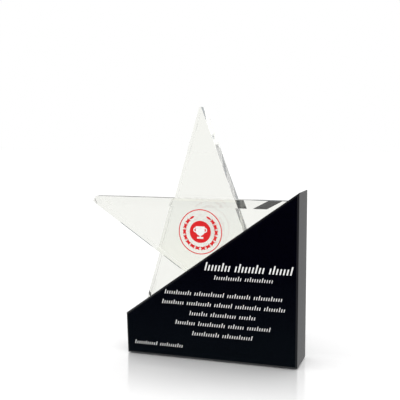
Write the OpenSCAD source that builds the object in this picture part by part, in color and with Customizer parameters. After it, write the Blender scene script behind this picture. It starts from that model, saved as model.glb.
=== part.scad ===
// Crystal star award.
// Two clear crystal plates, one behind the other, cross to make a five-pointed star.
// Both stand on the sloping top of a polished black crystal block, which carries an inscription.
// X runs to the right, Y runs from the front to the back, and Z runs up.
// The origin is the middle of the underside, on the surface that the award stands on.

/* [Block] */
// Width of the black block
block_w = 125; // [118:1:140]
// Thickness of the block from front to back
block_d = 32; // [29:1:45]
// Height of the block at its low left end
block_low_h = 29; // [26:1:32]
// Height of the block at its high right end
block_high_h = 119; // [115:1:122]
// How far the left side of the block leans in at its foot
block_left_lean = 1; // [0:0.1:2]
// Width of the polished chamfer around the front and back faces of the block
block_chamfer = 1.2; // [0.6:0.1:1.6]

/* [Star] */
// Thickness of the crossing plate in front
front_plate_t = 14; // [10:0.5:14]
// Thickness of the upright plate behind it
rear_plate_t = 11; // [10:0.5:14]
// Height of the star's top tip above the underside of the block
tip_h = 176.6; // [165:0.1:185]
// Distance of the top tip from the left side of the block
tip_x = 51; // [48:0.5:56]
// Angle of the upright plate's left side above the horizontal
upright_left_angle = 73.8; // [72:0.1:75]
// Angle of the upright plate's right side above the horizontal
upright_right_angle = 69.3; // [68:0.1:72]
// Width of the small flat at the top tip
upright_flat = 1.4; // [0.8:0.1:2]
// Height of the crossing plate's level top side above the underside of the block
level_h = 112.4; // [110:0.1:114]
// How far the crossing plate's sharp left corner would reach beyond the block
left_reach = 32; // [26:0.5:36]
// Angle of the crossing plate's lower side below the horizontal
lower_angle = 33.9; // [33:0.1:36]
// Width of the small flat at the left tip
crossing_flat = 3; // [1:0.1:4]
// Width of the broad bevel along the top of the crossing plate's front
bevel_w = 5.2; // [3:0.1:6]
// Depth of the same bevel, from front to back
bevel_d = 5.6; // [3:0.1:6]
// Width of the narrow arris ground on the crossing plate's other long edges
arris = 0.6; // [0.2:0.1:1]
// Width of the finer arris ground on the upright plate's edges
fine_arris = 0.1; // [0.1:0.1:0.8]

/* [Bonding and base pad] */
// Thickness of the clear cured adhesive between two pieces of crystal
bond_t = 0.1; // [0.08:0.01:0.2]
// Thickness of the felt pad under the block
pad_t = 0.6; // [0.4:0.1:1]
// How far the pad stays inside the block's edges
pad_inset = 3; // [2:0.5:6]

/* [Emblem] */
// Outside diameter of the printed emblem
emblem_d = 31.6; // [28:0.1:33]
// Thickness of one printed layer
ink_t = 0.1; // [0.08:0.01:0.15]
// Number of places along each branch of the wreath that carry leaves
leaf_count = 8; // [6:1:8]

/* [Inscription] */
// Depth of the blasted and paint-filled strokes
stroke_depth = 0.3; // [0.2:0.05:0.5]
// Distance between two rows of the message
message_pitch = 7.1; // [6:0.1:7.2]
// How far the strokes lean to the right
stroke_lean = 14; // [0:1:20]

/* [Hidden] */
$fn = 48;
cut_margin = 2;

// Where the pieces stand from front to back, measured from the front of the block.
plates_y = block_d / 2;
front_plate_y = plates_y - front_plate_t;
rear_plate_y = plates_y;

// The sloping top of the block, and the same line raised by the adhesive under the plates.
slope = (block_high_h - block_low_h) / block_w;
slope_angle = atan(slope);
function block_top(x) = block_low_h + slope * x;
function foot_line(x) = block_top(x) + bond_t / cos(slope_angle);

// A point on a line through p at an angle, where it meets the raised sloping line.
function on_foot_line(p, angle) =
    let (x = (p[1] - tan(angle) * p[0] - foot_line(0)) / (slope - tan(angle)))
    [x, foot_line(x)];

// A point at a distance from p in the direction of an angle.
function step_from(p, angle, distance) = p + distance * [cos(angle), sin(angle)];

// The upright plate: a tall triangle with a small flat at its tip.
upright_tip_angle = 180 - upright_left_angle - upright_right_angle;
upright_cut = upright_flat / (2 * sin(upright_tip_angle / 2));
upright_apex = [tip_x, tip_h + upright_cut * cos(upright_tip_angle / 2)];
upright_left_top = step_from(upright_apex, upright_left_angle + 180, upright_cut);
upright_right_top = step_from(upright_apex, -upright_right_angle, upright_cut);
upright_left_foot = on_foot_line(upright_apex, upright_left_angle);
upright_right_foot = on_foot_line(upright_apex, -upright_right_angle);
upright_outline = [upright_left_top, upright_left_foot, upright_right_foot, upright_right_top];

// The crossing plate: a long triangle with a level top and a small flat at its left tip.
crossing_corner = [-left_reach, level_h];
crossing_cut = crossing_flat / (2 * sin(lower_angle / 2));
crossing_tip_top = step_from(crossing_corner, 0, crossing_cut);
crossing_tip_low = step_from(crossing_corner, -lower_angle, crossing_cut);
crossing_foot = on_foot_line(crossing_corner, -lower_angle);
crossing_right = on_foot_line(crossing_corner, 0);
crossing_outline = [crossing_right, crossing_tip_top, crossing_tip_low, crossing_foot];

// The emblem sits where the two plates overlap.
emblem_centre = [55.9, 90];
ring_w = 0.7;
wreath_r = emblem_d * 0.365;
wreath_first = -80;
wreath_last = 58;
stem_w = 0.4;
leaf_l = 4.4;
leaf_w = 1.45;
leaf_spread = 34;
disc_r = emblem_d * 0.245;

// Each row of the inscription: middle, height above the underside, length, height, width and
// count of its slanting strokes, and number of words.
title_row = [90, 65.6, 61, 4, 1, 26, 3];
subtitle_row = [87, 58.6, 41, 2.1, 0.55, 25, 2];
message_top_row_z = 46.4;
message_middle = 72;
message_lengths = [84, 88, 47, 68, 43];
message_words = [4, 5, 3, 4, 2];
message_pitch_x = 1.65;
message_height = 2.1;
message_stroke_w = 0.55;
footer_row = [25, 8.2, 36, 1.9, 0.5, 23, 2];
function message_row(i) = [
    message_middle,
    message_top_row_z - i * message_pitch,
    message_lengths[i],
    message_height,
    message_stroke_w,
    floor(message_lengths[i] / message_pitch_x),
    message_words[i]
];
all_rows = concat(
    [title_row, subtitle_row],
    [for (i = [0:len(message_lengths) - 1]) message_row(i)],
    [footer_row]
);

// Moves a piece from the block's own corner to the award's origin, above the pad.
module in_place() {
    translate([-block_w / 2, -block_d / 2, pad_t]) children();
}

// An outline drawn in X and Z, given a thickness from y towards the back.
module slab(outline, y, thickness) {
    translate([0, y + thickness, 0])
        rotate([90, 0, 0])
            linear_extrude(thickness) polygon(outline);
}

// The wedge of crystal that a bevel along the side from p to q takes off.
// The piece lies to the left of that side. facing is 1 on a front face and -1 on a back face.
module bevel_cut(p, q, y, width, depth, facing) {
    run = q - p;
    reach = 0.25;
    translate([p[0], y, p[1]])
        rotate([0, -atan2(run[1], run[0]), 0])
            translate([-cut_margin, 0, 0])
                rotate([90, 0, 90])
                    linear_extrude(norm(run) + 2 * cut_margin)
                        polygon([
                            [-facing * reach * depth, -reach * width],
                            [-facing * reach * depth, (1 + reach) * width],
                            [facing * (1 + reach) * depth, -reach * width]
                        ]);
}

// The same bevel along the sides of an outline, starting at each listed corner.
module bevel_cuts(outline, corners, y, width, depth, facing) {
    for (i = corners)
        bevel_cut(outline[i], outline[(i + 1) % len(outline)], y, width, depth, facing);
}

// One row of slanting strokes in groups as long as words, from y towards the back.
// It has the look of a line of italics and spells nothing.
module stroke_row(row, y, depth) {
    height = row[3];
    width = row[4];
    slots = row[5];
    words = row[6];
    pitch = (row[2] - width) / (slots - 1);
    gaps = [for (w = [1:words - 1]) round(slots * w / words + (w % 2 == 0 ? 1 : -1))];
    for (i = [0:slots - 1])
        if (len(search(i, gaps)) == 0)
            translate([row[0] - row[2] / 2 + i * pitch, y + depth, row[1] - height / 2])
                rotate([90, 0, 0])
                    linear_extrude(depth)
                        slanting_stroke(width, height * (i * 7 % 5 == 0 ? 1.45 : 1));
}

// One stroke that leans to the right.
module slanting_stroke(width, height) {
    lean = height * tan(stroke_lean);
    polygon([[0, 0], [width, 0], [width + lean, height], [lean, height]]);
}

// The felt pad that the block rests on.
module base_pad() {
    color("#2b2b2d")
        translate([pad_inset - block_w / 2, pad_inset - block_d / 2, 0])
            cube([block_w - 2 * pad_inset, block_d - 2 * pad_inset, pad_t]);
}

// The black wedge-shaped block, chamfered front and back, with pockets for the inscription.
module black_block() {
    outline = [[block_left_lean, 0], [block_w, 0], [block_w, block_high_h], [0, block_low_h]];
    color("#0b0b10")
        in_place()
            difference() {
                slab(outline, 0, block_d);
                bevel_cuts(outline, [0:3], 0, block_chamfer, block_chamfer, 1);
                bevel_cuts(outline, [0:3], block_d, block_chamfer, block_chamfer, -1);
                for (row = all_rows)
                    stroke_row(row, -cut_margin, cut_margin + stroke_depth);
            }
}

// The crossing plate in front, broadly bevelled along its top side.
module front_star_plate() {
    color("#f3f4ef", 0.45)
        in_place()
            difference() {
                slab(crossing_outline, front_plate_y, front_plate_t - bond_t / 2);
                bevel_cuts(crossing_outline, [0], front_plate_y, bevel_w, bevel_d, 1);
                bevel_cuts(crossing_outline, [1], front_plate_y, arris, bevel_d, 1);
                bevel_cuts(crossing_outline, [2], front_plate_y, arris, arris, 1);
                bevel_cuts(crossing_outline, [0:2], plates_y - bond_t / 2, arris, arris, -1);
            }
}

// The upright plate behind it, with a narrow arris along its long sides.
module rear_star_plate() {
    thickness = rear_plate_t - bond_t / 2;
    front_y = rear_plate_y + bond_t / 2;
    color("#eef0ea", 0.45)
        in_place()
            difference() {
                slab(upright_outline, front_y, thickness);
                bevel_cuts(upright_outline, [0, 2, 3], front_y, fine_arris, fine_arris, 1);
                bevel_cuts(upright_outline, [0, 2, 3], front_y + thickness, fine_arris, fine_arris, -1);
            }
}

// The clear adhesive between the two plates, where they overlap.
module plate_bond() {
    color("#e8f0ee", 0.5)
        in_place()
            intersection() {
                slab(crossing_outline, plates_y - bond_t / 2, bond_t);
                slab(upright_outline, plates_y - bond_t / 2, bond_t);
                translate([0, 0, arris])
                    slab(
                        [[-left_reach, -arris], [block_w, -arris],
                         [block_w, level_h - 2 * arris], [-left_reach, level_h - 2 * arris]],
                        plates_y - block_d, block_d * 2
                    );
            }
}

// A layer of adhesive on the block's slope, under the foot of a plate that starts at y.
module foot_bond(outline_left, outline_right, y, thickness) {
    a = outline_left[0];
    b = outline_right[0];
    translate([a, y, block_top(a)])
        rotate([0, -slope_angle, 0])
            cube([(b - a) / cos(slope_angle), thickness, bond_t]);
}

// The adhesive follows the foot of the crossing plate, cut back under its bevels.
module front_foot_bond() {
    color("#dfe9e6", 0.5)
        in_place()
            difference() {
                foot_bond(crossing_foot, crossing_right, front_plate_y, front_plate_t);
                bevel_cuts(crossing_outline, [0], front_plate_y, bevel_w, bevel_d, 1);
                bevel_cuts(crossing_outline, [2], front_plate_y, arris, arris, 1);
                bevel_cuts(crossing_outline, [0, 2], plates_y - bond_t / 2, arris, arris, -1);
            }
}

module rear_foot_bond() {
    color("#dfe9e6", 0.5)
        in_place()
            difference() {
                foot_bond(upright_left_foot, upright_right_foot, rear_plate_y, rear_plate_t);
                bevel_cuts(upright_outline, [0, 2], rear_plate_y, fine_arris, fine_arris, 1);
                bevel_cuts(upright_outline, [0, 2], rear_plate_y + rear_plate_t, fine_arris, fine_arris, -1);
            }
}

// Stands a flat printed shape on the front of the crossing plate, on top of lower layers.
module printed(layer) {
    translate([emblem_centre[0], front_plate_y - layer * ink_t, emblem_centre[1]])
        rotate([90, 0, 0])
            linear_extrude(ink_t) children();
}

module emblem_ring() {
    color("#c8252c")
        in_place()
            printed(0)
                difference() {
                    circle(d = emblem_d);
                    circle(d = emblem_d - 2 * ring_w);
                }
}

// One leaf: the lens where two circles overlap, pointing along +X.
module leaf() {
    leaf_r = (leaf_l * leaf_l + leaf_w * leaf_w) / (4 * leaf_w);
    intersection() {
        translate([0, leaf_r - leaf_w / 2]) circle(r = leaf_r);
        translate([0, leaf_w / 2 - leaf_r]) circle(r = leaf_r);
    }
}

// One branch of the wreath: a curved stem with pairs of leaves and one leaf at its end.
module wreath_branch() {
    intersection() {
        difference() {
            circle(r = wreath_r + stem_w / 2);
            circle(r = wreath_r - stem_w / 2);
        }
        polygon([
            [0, 0],
            2 * emblem_d * [cos(wreath_first), sin(wreath_first)],
            2 * emblem_d * [1, 0],
            2 * emblem_d * [cos(wreath_last), sin(wreath_last)]
        ]);
    }
    for (i = [0:leaf_count - 1])
        rotate(wreath_first + i * (wreath_last - wreath_first) / (leaf_count - 1))
            translate([wreath_r, 0])
                for (spread = i < leaf_count - 1 ? [-leaf_spread, leaf_spread] : [0])
                    rotate(90 + spread)
                        leaf();
}

// Two branches that rise from the bottom and stay open at the top.
module emblem_wreath() {
    color("#c8252c")
        in_place()
            printed(0) {
                wreath_branch();
                mirror([1, 0]) wreath_branch();
            }
}

module emblem_disc() {
    color("#d8242b")
        in_place()
            printed(0)
                circle(r = disc_r);
}

// A plain two-handled prize cup, printed in white over the disc.
module emblem_cup() {
    bowl_r = disc_r * 0.42;
    rim_z = disc_r * 0.5;
    color("#fbfbf8")
        in_place()
            printed(1)
                union() {
                    difference() {
                        union() {
                            translate([0, rim_z - bowl_r]) circle(r = bowl_r);
                            translate([-bowl_r, rim_z - bowl_r]) square([2 * bowl_r, bowl_r]);
                            for (side = [-1, 1])
                                translate([side * bowl_r, rim_z - bowl_r * 0.8])
                                    difference() {
                                        circle(r = bowl_r * 0.55);
                                        circle(r = bowl_r * 0.32);
                                    }
                        }
                        translate([-2 * disc_r, rim_z]) square([4 * disc_r, disc_r]);
                    }
                    translate([-bowl_r * 0.14, -disc_r * 0.55]) square([bowl_r * 0.28, disc_r * 0.6]);
                    translate([-bowl_r * 0.7, -disc_r * 0.62]) square([bowl_r * 1.4, bowl_r * 0.4]);
                }
}

// White paint that fills one row of strokes, flush with the front of the block.
module row_infill(row) {
    color("#f6f6f4")
        in_place()
            stroke_row(row, 0, stroke_depth);
}

base_pad();
black_block();
front_star_plate();
rear_star_plate();
plate_bond();
front_foot_bond();
rear_foot_bond();
emblem_ring();
emblem_wreath();
emblem_disc();
emblem_cup();
row_infill(title_row);  // title_infill
row_infill(subtitle_row);  // subtitle_infill
row_infill(message_row(0));  // message_infill_1
row_infill(message_row(1));  // message_infill_2
row_infill(message_row(2));  // message_infill_3
row_infill(message_row(3));  // message_infill_4
row_infill(message_row(4));  // message_infill_5
row_infill(footer_row);  // footer_infill
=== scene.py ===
"""Looks for the crystal star award: two clear crystal plates on a black crystal block."""

import math

import bmesh
import bpy
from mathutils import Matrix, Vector


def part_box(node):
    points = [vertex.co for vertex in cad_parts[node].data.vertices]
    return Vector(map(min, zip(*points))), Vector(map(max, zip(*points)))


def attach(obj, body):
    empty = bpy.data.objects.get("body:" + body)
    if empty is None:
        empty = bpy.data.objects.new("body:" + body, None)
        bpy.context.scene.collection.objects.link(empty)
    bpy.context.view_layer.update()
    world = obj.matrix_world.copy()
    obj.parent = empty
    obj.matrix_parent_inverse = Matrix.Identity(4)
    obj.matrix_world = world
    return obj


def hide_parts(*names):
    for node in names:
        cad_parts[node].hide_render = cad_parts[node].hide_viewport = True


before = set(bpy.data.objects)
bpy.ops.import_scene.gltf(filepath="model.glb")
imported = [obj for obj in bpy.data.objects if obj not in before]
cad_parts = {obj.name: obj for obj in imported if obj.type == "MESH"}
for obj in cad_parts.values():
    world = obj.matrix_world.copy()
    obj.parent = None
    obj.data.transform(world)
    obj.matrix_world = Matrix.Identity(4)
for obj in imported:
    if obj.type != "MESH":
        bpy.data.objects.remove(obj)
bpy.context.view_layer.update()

BODY = "root"
BLOCK_LOW, BLOCK_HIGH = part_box("black_block")
BLOCK_SIZE = BLOCK_HIGH - BLOCK_LOW
FLOOR_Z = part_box("base_pad")[0][2]
# Height of the broad bevel along the top of the crossing plate
BEVEL_HEIGHT = 0.0052


# ---------------------------------------------------------------- node helpers

def feed(tree, socket, value):
    """Links a socket to another node's output, or sets it where the value is a plain one."""
    if isinstance(value, bpy.types.NodeSocket):
        tree.links.new(value, socket)
    else:
        socket.default_value = value


def add(tree, kind, **values):
    """Adds a node and feeds its sockets by name, with spaces written as underscores."""
    node = tree.nodes.new(kind)
    for name, value in values.items():
        feed(tree, node.inputs[name.replace("_", " ")], value)
    return node


def new_material(name):
    """A material with an empty node tree, and that tree."""
    material = bpy.data.materials.new(name)
    material.use_nodes = True
    material.node_tree.nodes.clear()
    return material, material.node_tree


def show(tree, surface, volume=None):
    """Sends a shader node to the material's surface, and another to its volume if there is one."""
    output = add(tree, "ShaderNodeOutputMaterial", Surface=surface.outputs[0])
    if volume:
        tree.links.new(volume.outputs["Volume"], output.inputs["Volume"])


def object_place(tree):
    """The place on the piece, in its own coordinates."""
    return tree.nodes.new("ShaderNodeTexCoord").outputs["Object"]


def flat_normal(tree):
    """The direction that a face points in, without any bump."""
    return tree.nodes.new("ShaderNodeNewGeometry").outputs["True Normal"]


def split(tree, vector):
    """The X, Y and Z of a vector."""
    return add(tree, "ShaderNodeSeparateXYZ", Vector=vector).outputs


def calculate(tree, operation, *values):
    """A Math node on one or two values."""
    node = tree.nodes.new("ShaderNodeMath")
    node.operation = operation
    for socket, value in zip(node.inputs, values):
        feed(tree, socket, value)
    return node.outputs["Value"]


def noise(tree, scale, detail=3.0, per_axis=(1.0, 1.0, 1.0)):
    """Noise in object space, in features per metre, times per_axis along X, Y and Z."""
    mapping = add(tree, "ShaderNodeMapping", Vector=object_place(tree), Scale=per_axis)
    texture = add(tree, "ShaderNodeTexNoise", Vector=mapping.outputs["Vector"], Scale=scale,
                  Detail=detail)
    return texture.outputs["Fac"]


def spread(tree, value, low, high, start=0.35, end=0.65):
    """Runs from low to high while a value runs from start to end, and no further.

    Without a start and an end it takes the middle range of a noise texture.
    """
    node = add(tree, "ShaderNodeMapRange", Value=value, From_Min=start, From_Max=end,
               To_Min=low, To_Max=high)
    return node.outputs["Result"]


def blend_colours(tree, factor, first, second):
    """The first colour where the factor is 0 and the second where it is 1."""
    node = tree.nodes.new("ShaderNodeMix")
    node.data_type = "RGBA"
    node.inputs["A"].default_value = (*first, 1.0)
    node.inputs["B"].default_value = (*second, 1.0)
    tree.links.new(factor, node.inputs["Factor"])
    return node.outputs["Result"]


def bump(tree, height, strength, distance):
    """A normal from a height texture."""
    node = add(tree, "ShaderNodeBump", Height=height, Strength=strength, Distance=distance)
    return node.outputs["Normal"]


# ------------------------------------------------------------------- materials

CRYSTAL_IOR = 1.52
CRYSTAL_CLEAR = (0.953, 0.957, 0.915)
# Dark colour of the painted reflection of the black block in the crystal's walls
CRYSTAL_PAINTED_REFLECTION = (0.004, 0.01, 0.013)
CRYSTAL_BODY_TINT = (0.93, 0.97, 0.86)
CRYSTAL_BODY_DENSITY = 0.5
WAVE_STRENGTH = 0.12
WAVE_HEIGHT = 0.001
# Where the streaks of painted reflection lie, how they slant and how long they are
STREAK_SLANT = math.radians(-30.0)
STREAK_PLACE = (0.05, 0.11, 0.03)
STREAK_STRETCH = (5.0, 1.0, 5.0)
STREAK_SCALE = 110.0


def wall_mask(tree):
    """1 on the narrow side walls of a plate, and 0 on its broad faces and its bevel."""
    facing = calculate(tree, "ABSOLUTE", split(tree, flat_normal(tree))["Y"])
    return spread(tree, facing, 1.0, 0.0, 0.3, 0.65)


def faces_with_painted_reflections(tree):
    """1 where a dark reflection of the black block is painted in streaks, and 0 elsewhere.

    These are the walls that face right or up, and the narrow arris along the front of the
    crossing plate's lower side, which is the only face that points left, forward and down alike.
    """
    normal = flat_normal(tree)
    sides = split(tree, normal)
    right_or_up = calculate(tree, "MAXIMUM", sides["X"], sides["Z"])
    left_front_down = tree.nodes.new("ShaderNodeVectorMath")
    left_front_down.operation = "DOT_PRODUCT"
    tree.links.new(normal, left_front_down.inputs[0])
    left_front_down.inputs[1].default_value = (-1.0, -1.0, -1.0)
    walls = spread(tree, right_or_up, 0.0, 1.0, 0.8, 0.9)
    arris = spread(tree, left_front_down.outputs["Value"], 0.0, 1.0, 1.5, 1.6)
    return calculate(tree, "MAXIMUM", walls, arris)


def painted_reflection_streaks(tree):
    """1 in the long dark streaks of painted reflection of the black block, slanting across the
    faces that take them, and 0 between them.
    """
    turn = add(tree, "ShaderNodeMapping", Vector=object_place(tree), Location=STREAK_PLACE,
               Rotation=(STREAK_SLANT, 0.0, 0.0), Scale=STREAK_STRETCH)
    turn.vector_type = "TEXTURE"
    texture = add(tree, "ShaderNodeTexNoise", Vector=turn.outputs["Vector"], Scale=STREAK_SCALE,
                  Detail=1.5)
    return spread(tree, texture.outputs["Fac"], 0.0, faces_with_painted_reflections(tree), 0.53, 0.56)


def clear_crystal():
    """Polished optical crystal, with faint smears, side walls polished a little wavy by hand, and
    streaks of painted dark reflection of the black block on some walls.
    """
    material, tree = new_material("clear_crystal")
    smears = noise(tree, 55.0, per_axis=(1.0, 1.0, 0.5))
    waves = noise(tree, 100.0, detail=1.0, per_axis=(0.5, 1.0, 0.3))
    wave_strength = spread(tree, wall_mask(tree), 0.0, WAVE_STRENGTH, 0.0, 1.0)
    shader = add(
        tree, "ShaderNodeBsdfPrincipled", IOR=CRYSTAL_IOR, Transmission_Weight=1.0,
        # The base colour carries a painted reflection: dark streaks where the black block would
        # show in the walls
        Base_Color=blend_colours(tree, painted_reflection_streaks(tree), CRYSTAL_CLEAR, CRYSTAL_PAINTED_REFLECTION),
        Roughness=spread(tree, smears, 0.0, 0.02),
        Normal=bump(tree, waves, wave_strength, WAVE_HEIGHT),
    )
    body = add(tree, "ShaderNodeVolumeAbsorption", Density=CRYSTAL_BODY_DENSITY,
               Color=(*CRYSTAL_BODY_TINT, 1.0))
    show(tree, shader, body)
    return material


def black_crystal():
    """Polished black crystal with faint wiping marks, and a painted reflection of the table top
    that makes it a little paler and bluer low down.
    """
    material, tree = new_material("black_crystal")
    # Painted reflection of the table top: the base colour turns paler and bluer towards the bottom
    painted_table_reflection = spread(tree, split(tree, object_place(tree))["Z"], 1.0, 0.0,
                      BLOCK_LOW.z, BLOCK_LOW.z + 0.6 * BLOCK_SIZE.z)
    wiping = noise(tree, 70.0, per_axis=(1.0, 1.0, 0.3))
    shader = add(
        tree, "ShaderNodeBsdfPrincipled", IOR=1.47,
        Base_Color=blend_colours(tree, painted_table_reflection, (0.0008, 0.0008, 0.003), (0.0032, 0.0046, 0.0066)),
        Roughness=spread(tree, wiping, 0.01, 0.05),
    )
    show(tree, shader)
    return material


def print_ink(name, colour):
    """A thin printed layer, a little uneven where the dots of ink run together."""
    material, tree = new_material(name)
    dots = noise(tree, 2500.0, detail=1.0)
    darker = tuple(0.85 * part for part in colour)
    shader = add(
        tree, "ShaderNodeBsdfPrincipled", IOR=1.5,
        Base_Color=blend_colours(tree, spread(tree, dots, 0.0, 1.0), colour, darker),
        Roughness=spread(tree, dots, 0.25, 0.4),
        Normal=bump(tree, dots, 0.2, 0.00003),
    )
    show(tree, shader)
    return material


def paint_infill():
    """Matt white paint that sits in a blasted, slightly grainy stroke."""
    material, tree = new_material("white_infill")
    grain = noise(tree, 4000.0, detail=2.0)
    grains = spread(tree, grain, 0.0, 1.0)
    shader = add(
        tree, "ShaderNodeBsdfPrincipled", IOR=1.45, Roughness=0.6,
        Base_Color=blend_colours(tree, grains, (0.9, 0.9, 0.88), (0.72, 0.72, 0.71)),
        Normal=bump(tree, grain, 0.5, 0.00005),
    )
    show(tree, shader)
    return material


def felt():
    """Short black felt fibres."""
    material, tree = new_material("felt")
    fibres = noise(tree, 3500.0, detail=4.0, per_axis=(1.0, 0.4, 1.0))
    tips = spread(tree, fibres, 0.0, 1.0)
    shader = add(
        tree, "ShaderNodeBsdfPrincipled", Roughness=0.95,
        Base_Color=blend_colours(tree, tips, (0.012, 0.012, 0.013), (0.05, 0.05, 0.052)),
        Normal=bump(tree, fibres, 0.8, 0.0002),
    )
    show(tree, shader)
    return material


def clear_adhesive():
    """A clear film with painted shade: it holds back a little light, more of it higher up, and none
    at the bevel.
    """
    material, tree = new_material("clear_adhesive")
    bond_low, bond_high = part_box("plate_bond")
    bevel_low = bond_high.z - BEVEL_HEIGHT
    height = split(tree, object_place(tree))["Z"]
    # Painted shade over the plates' overlap: darker towards the top, and none at the bevel
    below_bevel = spread(tree, height, 1.0, 0.0, bevel_low, bevel_low + 0.0004)
    painted_overlap_shade = spread(tree, height, 0.0, below_bevel, bond_low.z, bevel_low)
    shader = add(tree, "ShaderNodeBsdfTransparent",
                 Color=blend_colours(tree, painted_overlap_shade, (1.0, 1.0, 1.0), (0.975, 0.978, 0.992)))
    show(tree, shader)
    return material


# ---------------------------------------------------------------------- pieces

# How far the thin layers stay clear of the crystal around them
LAYER_GAP = 0.00002


def dress(node, material):
    """Gives a CAD node its material."""
    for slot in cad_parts[node].material_slots:
        slot.material = material


def inset_layer(node, name, material):
    """A copy of a thin layer, a hair smaller all round, so that no face of it lies on the crystal.

    A face that lies on the crystal renders grey or black through the glass.
    """
    mesh = bmesh.new()
    mesh.from_mesh(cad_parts[node].data)
    bmesh.ops.remove_doubles(mesh, verts=mesh.verts, dist=LAYER_GAP / 10.0)
    mesh.normal_update()
    inward = {vert: vert.normal * vert.calc_shell_factor() * LAYER_GAP for vert in mesh.verts}
    for vert, step in inward.items():
        vert.co -= step
    data = bpy.data.meshes.new(name)
    mesh.to_mesh(data)
    mesh.free()
    data.materials.append(material)
    piece = bpy.data.objects.new(name, data)
    bpy.context.scene.collection.objects.link(piece)
    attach(piece, BODY)
    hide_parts(node)


def dress_award():
    """Gives every piece its look."""
    glass = clear_crystal()
    dress("front_star_plate", glass)
    dress("rear_star_plate", glass)
    dress("black_block", black_crystal())
    dress("base_pad", felt())

    paint = paint_infill()
    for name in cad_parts:
        if "_infill" in name:
            dress(name, paint)

    film = clear_adhesive()
    for name in ("plate_bond", "front_foot_bond", "rear_foot_bond"):
        inset_layer(name, name + "_film", film)

    red = print_ink("red_ink", (0.77, 0.002, 0.006))
    for name in ("emblem_ring", "emblem_wreath", "emblem_disc"):
        inset_layer(name, name + "_print", red)
    white = print_ink("white_ink", (0.92, 0.92, 0.9))
    inset_layer("emblem_cup", "emblem_cup_print", white)


# ---------------------------------------------------------------------- studio

FLOOR_SIZE = 12.0
FLOOR_DROP = 0.00005
FLOOR_WHITE = (0.97, 0.97, 0.97)
FLOOR_THROUGH_GLASS = (0.865, 0.865, 0.865)
FLOOR_GLOSS = 0.37
# How far in front of the block and behind it the floor's gloss dies away
FADE_FRONT = 0.076
FADE_BEHIND = 0.01


def studio_floor():
    """A wide table top of white acrylic, glossy beside the block and matt away from it."""
    bpy.ops.mesh.primitive_plane_add(size=FLOOR_SIZE, location=(0.0, 0.0, FLOOR_Z - FLOOR_DROP))
    floor = bpy.context.object
    floor.name = "studio_floor"
    material, tree = new_material("floor_white")
    light_path = tree.nodes.new("ShaderNodeLightPath")
    tone = blend_colours(tree, light_path.outputs["Is Transmission Ray"], FLOOR_WHITE,
                         FLOOR_THROUGH_GLASS)
    matt = add(tree, "ShaderNodeBsdfDiffuse", Color=tone)
    gloss = add(tree, "ShaderNodeBsdfAnisotropic", Color=(1.0, 1.0, 1.0, 1.0), Roughness=0.12)
    depth = split(tree, object_place(tree))["Y"]
    behind = spread(tree, depth, FLOOR_GLOSS, 0.0, BLOCK_LOW.y, BLOCK_HIGH.y + FADE_BEHIND)
    share = spread(tree, depth, 0.0, behind, BLOCK_LOW.y - FADE_FRONT, BLOCK_LOW.y)
    mix = add(tree, "ShaderNodeMixShader", Fac=share)
    tree.links.new(matt.outputs["BSDF"], mix.inputs[1])
    tree.links.new(gloss.outputs["BSDF"], mix.inputs[2])
    show(tree, mix)
    floor.data.materials.append(material)
    floor.visible_glossy = False


def seen_by(tree, flag, strength, otherwise):
    """One strength for rays of a kind, and another for the rest."""
    kind = tree.nodes.new("ShaderNodeLightPath").outputs[flag]
    return add(tree, "ShaderNodeMix", Factor=kind, A=otherwise, B=strength).outputs["Result"]


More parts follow.
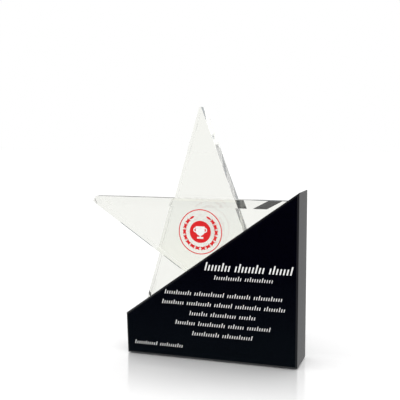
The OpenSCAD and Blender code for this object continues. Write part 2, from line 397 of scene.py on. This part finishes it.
def studio_world():
    """A white studio whose strength depends on the kind of ray that sees it.

    The camera sees plain white, and so does whatever looks through the crystal. Reflections see a
    low dark wall in front of the award, a softbox on its left under a dim ceiling, and a brighter
    light all the way up on its right. Matt surfaces get a little more light.
    """
    world = bpy.data.worlds.new("studio")
    bpy.context.scene.world = world
    world.use_nodes = True
    tree = world.node_tree
    tree.nodes.clear()
    place = tree.nodes.new("ShaderNodeTexCoord")
    direction = split(tree, place.outputs["Generated"])
    height = direction["Z"]

    above_the_wall = spread(tree, height, 0.0, 1.0, 0.06, 0.15)
    in_front = spread(tree, direction["Y"], above_the_wall, 1.0, -0.7, -0.25)
    ceiling = spread(tree, height, 1.25, 0.3, 0.38, 0.55)
    left = spread(tree, height, 0.35, ceiling, 0.12, 0.22)
    right = spread(tree, height, 0.4, 1.8, -0.03, 0.1)
    to_the_right = spread(tree, direction["X"], 0.0, 1.0, 0.0, 0.2)
    sides = add(tree, "ShaderNodeMix", Factor=to_the_right, A=left, B=right).outputs["Result"]
    reflected = calculate(tree, "MULTIPLY", in_front, sides)

    strength = seen_by(tree, "Is Glossy Ray", reflected, in_front)
    strength = seen_by(tree, "Is Transmission Ray", 1.0, strength)
    strength = seen_by(tree, "Is Diffuse Ray", 1.2, strength)
    strength = seen_by(tree, "Is Camera Ray", 1.0, strength)
    background = add(tree, "ShaderNodeBackground", Color=(1.0, 1.0, 1.0, 1.0), Strength=strength)
    add(tree, "ShaderNodeOutputWorld", Surface=background.outputs["Background"])


# ---------------------------------------------------------------------- camera

CAMERA_AZIMUTH = math.radians(18.53)
CAMERA_ELEVATION = math.radians(5.15)
CAMERA_DISTANCE = 3.942 * BLOCK_SIZE.x
CAMERA_LENS = 64.5
# The middle of the picture, from the low left front corner of the block
TARGET = BLOCK_LOW + Vector((0.451, 0.0, 0.899)) * BLOCK_SIZE.x


def studio_camera():
    """A camera to the right of the front, a little above the award."""
    back = Vector((
        math.sin(CAMERA_AZIMUTH) * math.cos(CAMERA_ELEVATION),
        -math.cos(CAMERA_AZIMUTH) * math.cos(CAMERA_ELEVATION),
        math.sin(CAMERA_ELEVATION),
    ))
    data = bpy.data.cameras.new("camera")
    data.lens = CAMERA_LENS
    camera = bpy.data.objects.new("camera", data)
    bpy.context.scene.collection.objects.link(camera)
    camera.location = TARGET + back * CAMERA_DISTANCE
    camera.rotation_euler = back.to_track_quat("Z", "Y").to_euler()
    bpy.context.scene.camera = camera


# Light turns back many times inside the plates. With fewer bounces their walls go grey.
GLASS_BOUNCES = 96


def studio_settings():
    """Plain colours, and enough bounces for thick glass."""
    scene = bpy.context.scene
    scene.view_settings.view_transform = "Standard"
    scene.view_settings.look = "None"
    scene.cycles.max_bounces = GLASS_BOUNCES
    scene.cycles.transmission_bounces = GLASS_BOUNCES
    scene.cycles.glossy_bounces = GLASS_BOUNCES


dress_award()
studio_floor()
studio_world()
studio_camera()
studio_settings()
